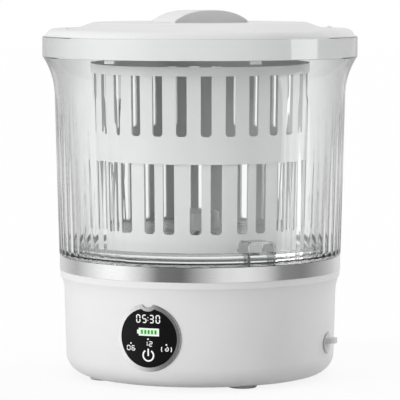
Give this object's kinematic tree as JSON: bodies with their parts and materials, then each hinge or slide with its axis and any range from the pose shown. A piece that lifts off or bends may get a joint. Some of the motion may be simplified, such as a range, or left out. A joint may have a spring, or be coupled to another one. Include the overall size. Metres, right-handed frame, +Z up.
{
  "type": "mini washing machine",
  "caption": "Small round battery washing machine with a clear tub, a slotted spin basket on a pulsator, a lift-off lid, a display and a plugged drain.",
  "frame": {"origin": "centre of the footprint, on the surface that the feet stand on", "axes": "+Z up, the display faces -Y, the drain plug is at +X"},
  "size_m": [0.2152, 0.2152, 0.2497],
  "materials": {
    "white_shell": "satin",
    "clear_tub": "clear gloss",
    "white_basket": "gloss",
    "white_pulsator": "satin",
    "bright_ring": "polished",
    "silver_bezel": "metallic satin",
    "black_lens": "gloss",
    "foot_rubber": "matte",
    "plug_rubber": "matte",
    "seal_rubber": "matte",
    "hose_rubber": "matte",
    "grey_plastic": "matte",
    "gear_plastic": "matte",
    "steel": "bright",
    "brass": "machined",
    "motor_end": "matte",
    "cell_wrap": "satin",
    "board_green": "satin",
    "cable": "satin"
  },
  "bodies": {
    "root": {"base_shell": "white_shell", "bottom_cover": "white_shell", "cover_screws": "steel", "trim_ring": "bright_ring", "tub": "clear_tub", "drain_hood": "clear_tub", "deck": "grey_plastic", "deck_screws": "steel", "tub_gasket": "seal_rubber", "tub_nut": "grey_plastic", "shaft_seal": "seal_rubber", "upper_bearing_outer": "steel", "lower_bearing_outer": "steel", "motor_plate": "grey_plastic", "plate_screws": "steel", "motor_can": "steel", "motor_cap": "motor_end", "motor_screws": "steel", "panel_bezel": "silver_bezel", "panel_lens": "black_lens", "light_mask": "black_lens", "display_board": "board_green", "display_screws": "steel", "battery_holder": "grey_plastic", "battery_cell_left": "cell_wrap", "battery_cell_right": "cell_wrap", "control_board": "board_green", "control_screws": "steel", "charge_board": "board_green", "charge_port": "steel", "charge_screws": "steel", "drain_hose": "hose_rubber", "drain_outlet": "grey_plastic", "display_cable": "cable", "motor_cable": "cable", "battery_cable": "cable", "charge_cable": "cable", "foot_front_right": "foot_rubber", "foot_rear_right": "foot_rubber", "foot_rear_left": "foot_rubber", "foot_front_left": "foot_rubber"},
    "drive": {"drive_shaft": "steel", "drive_gear": "gear_plastic", "upper_bearing_inner": "steel", "lower_bearing_inner": "steel", "pulsator": "white_pulsator", "pulsator_screw": "steel"},
    "motor_rotor": {"motor_shaft": "steel", "motor_pinion": "brass"},
    "basket": {"basket": "white_basket"},
    "lid": {"lid_shell": "white_shell", "lid_handle": "white_shell", "lid_screws": "steel"},
    "drain_plug": {"drain_plug": "plug_rubber"}
  },
  "joints": [
    {"name": "pulsator_spin", "type": "hinge", "parent": "root", "child": "drive", "pos_m": [0, 0, 0.08], "axis": [0, 0, 1], "continuous": true},
    {"name": "pinion_spin", "type": "hinge", "parent": "root", "child": "motor_rotor", "pos_m": [0, 0.04, 0.05], "axis": [0, 0, 1], "continuous": true},
    {"name": "basket_lift", "type": "slide", "parent": "drive", "child": "basket", "axis": [0, 0, 1], "range_m": [0, 0.018]},
    {"name": "lid_lift", "type": "slide", "parent": "root", "child": "lid", "axis": [0, 0, 1], "range_m": [0, 0.15]},
    {"name": "plug_pull", "type": "slide", "parent": "root", "child": "drain_plug", "axis": [1, 0, 0], "range_m": [0, 0.014]}
  ],
  "couplings": [
    {"joint": "pinion_spin", "follows": "pulsator_spin", "ratio": -4}
  ]
}
